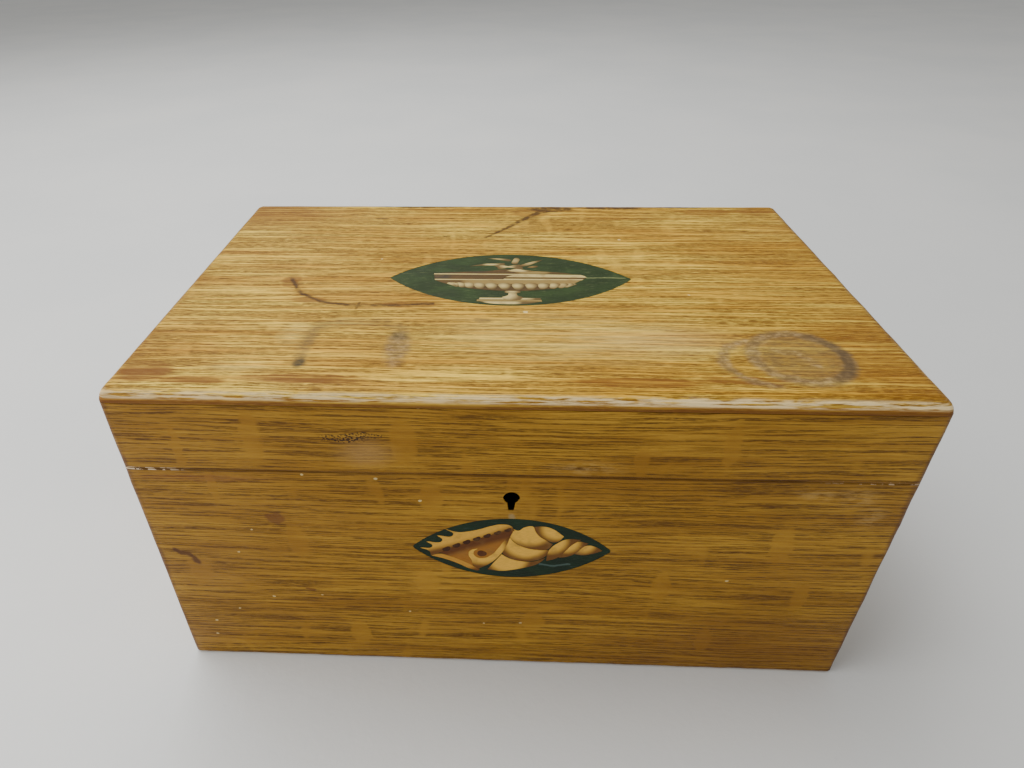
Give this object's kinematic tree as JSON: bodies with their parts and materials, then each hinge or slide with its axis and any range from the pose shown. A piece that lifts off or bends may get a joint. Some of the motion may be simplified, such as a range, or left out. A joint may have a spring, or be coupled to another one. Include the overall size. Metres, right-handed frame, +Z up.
{
  "type": "oak box",
  "caption": "Oak box with a deep hinged lid, a keyhole and a box lock, and flush pointed-oval green inlays showing an urn on the lid and a spired shell on the front.",
  "frame": {"origin": "middle of the underside, on the surface that the box stands on", "axes": "+X to the right along the front, +Y from the front to the hinges at the back, +Z up"},
  "size_m": [0.33, 0.213, 0.169],
  "materials": {
    "case_oak": "golden-brown quarter-sawn oak with worn, waxed varnish",
    "top_oak": "faded honey oak, worn varnish with ring stains and scratches",
    "plain_oak": "bare, unfinished",
    "green_veneer": "dyed green veneer, waxed",
    "pale_veneer": "holly veneer yellowed with age, scorched dark along its edges",
    "aged_brass": "tarnished",
    "dull_steel": "dull"
  },
  "bodies": {
    "base": {"base_front": "case_oak", "base_right": "case_oak", "base_back": "case_oak", "base_left": "case_oak", "base_bottom": "plain_oak", "front_patera_ground": "green_veneer", "front_patera_shell": "pale_veneer", "hinge_left_base_leaf": "aged_brass", "hinge_left_pin": "dull_steel", "hinge_right_base_leaf": "aged_brass", "hinge_right_pin": "dull_steel", "lock": "aged_brass", "hinge_left_base_screw_outer": "aged_brass", "hinge_left_base_screw_inner": "aged_brass", "hinge_right_base_screw_outer": "aged_brass", "hinge_right_base_screw_inner": "aged_brass", "lock_screw_top_left": "aged_brass", "lock_screw_top_right": "aged_brass", "lock_screw_foot_left": "aged_brass", "lock_screw_foot_right": "aged_brass"},
    "lid": {"lid_front": "case_oak", "lid_right": "case_oak", "lid_back": "case_oak", "lid_left": "case_oak", "lid_top": "top_oak", "lid_patera_ground": "green_veneer", "lid_patera_urn": "pale_veneer", "hinge_left_lid_leaf": "aged_brass", "hinge_right_lid_leaf": "aged_brass", "striking_plate": "aged_brass", "hinge_left_lid_screw_outer": "aged_brass", "hinge_left_lid_screw_inner": "aged_brass", "hinge_right_lid_screw_outer": "aged_brass", "hinge_right_lid_screw_inner": "aged_brass", "strike_screw_left": "aged_brass", "strike_screw_right": "aged_brass"}
  },
  "joints": [
    {"name": "lid_hinge", "type": "hinge", "parent": "base", "child": "lid", "pos_m": [0, 0.1039, 0.12915], "axis": [-1, 0, 0], "range_deg": [0, 100]}
  ]
}
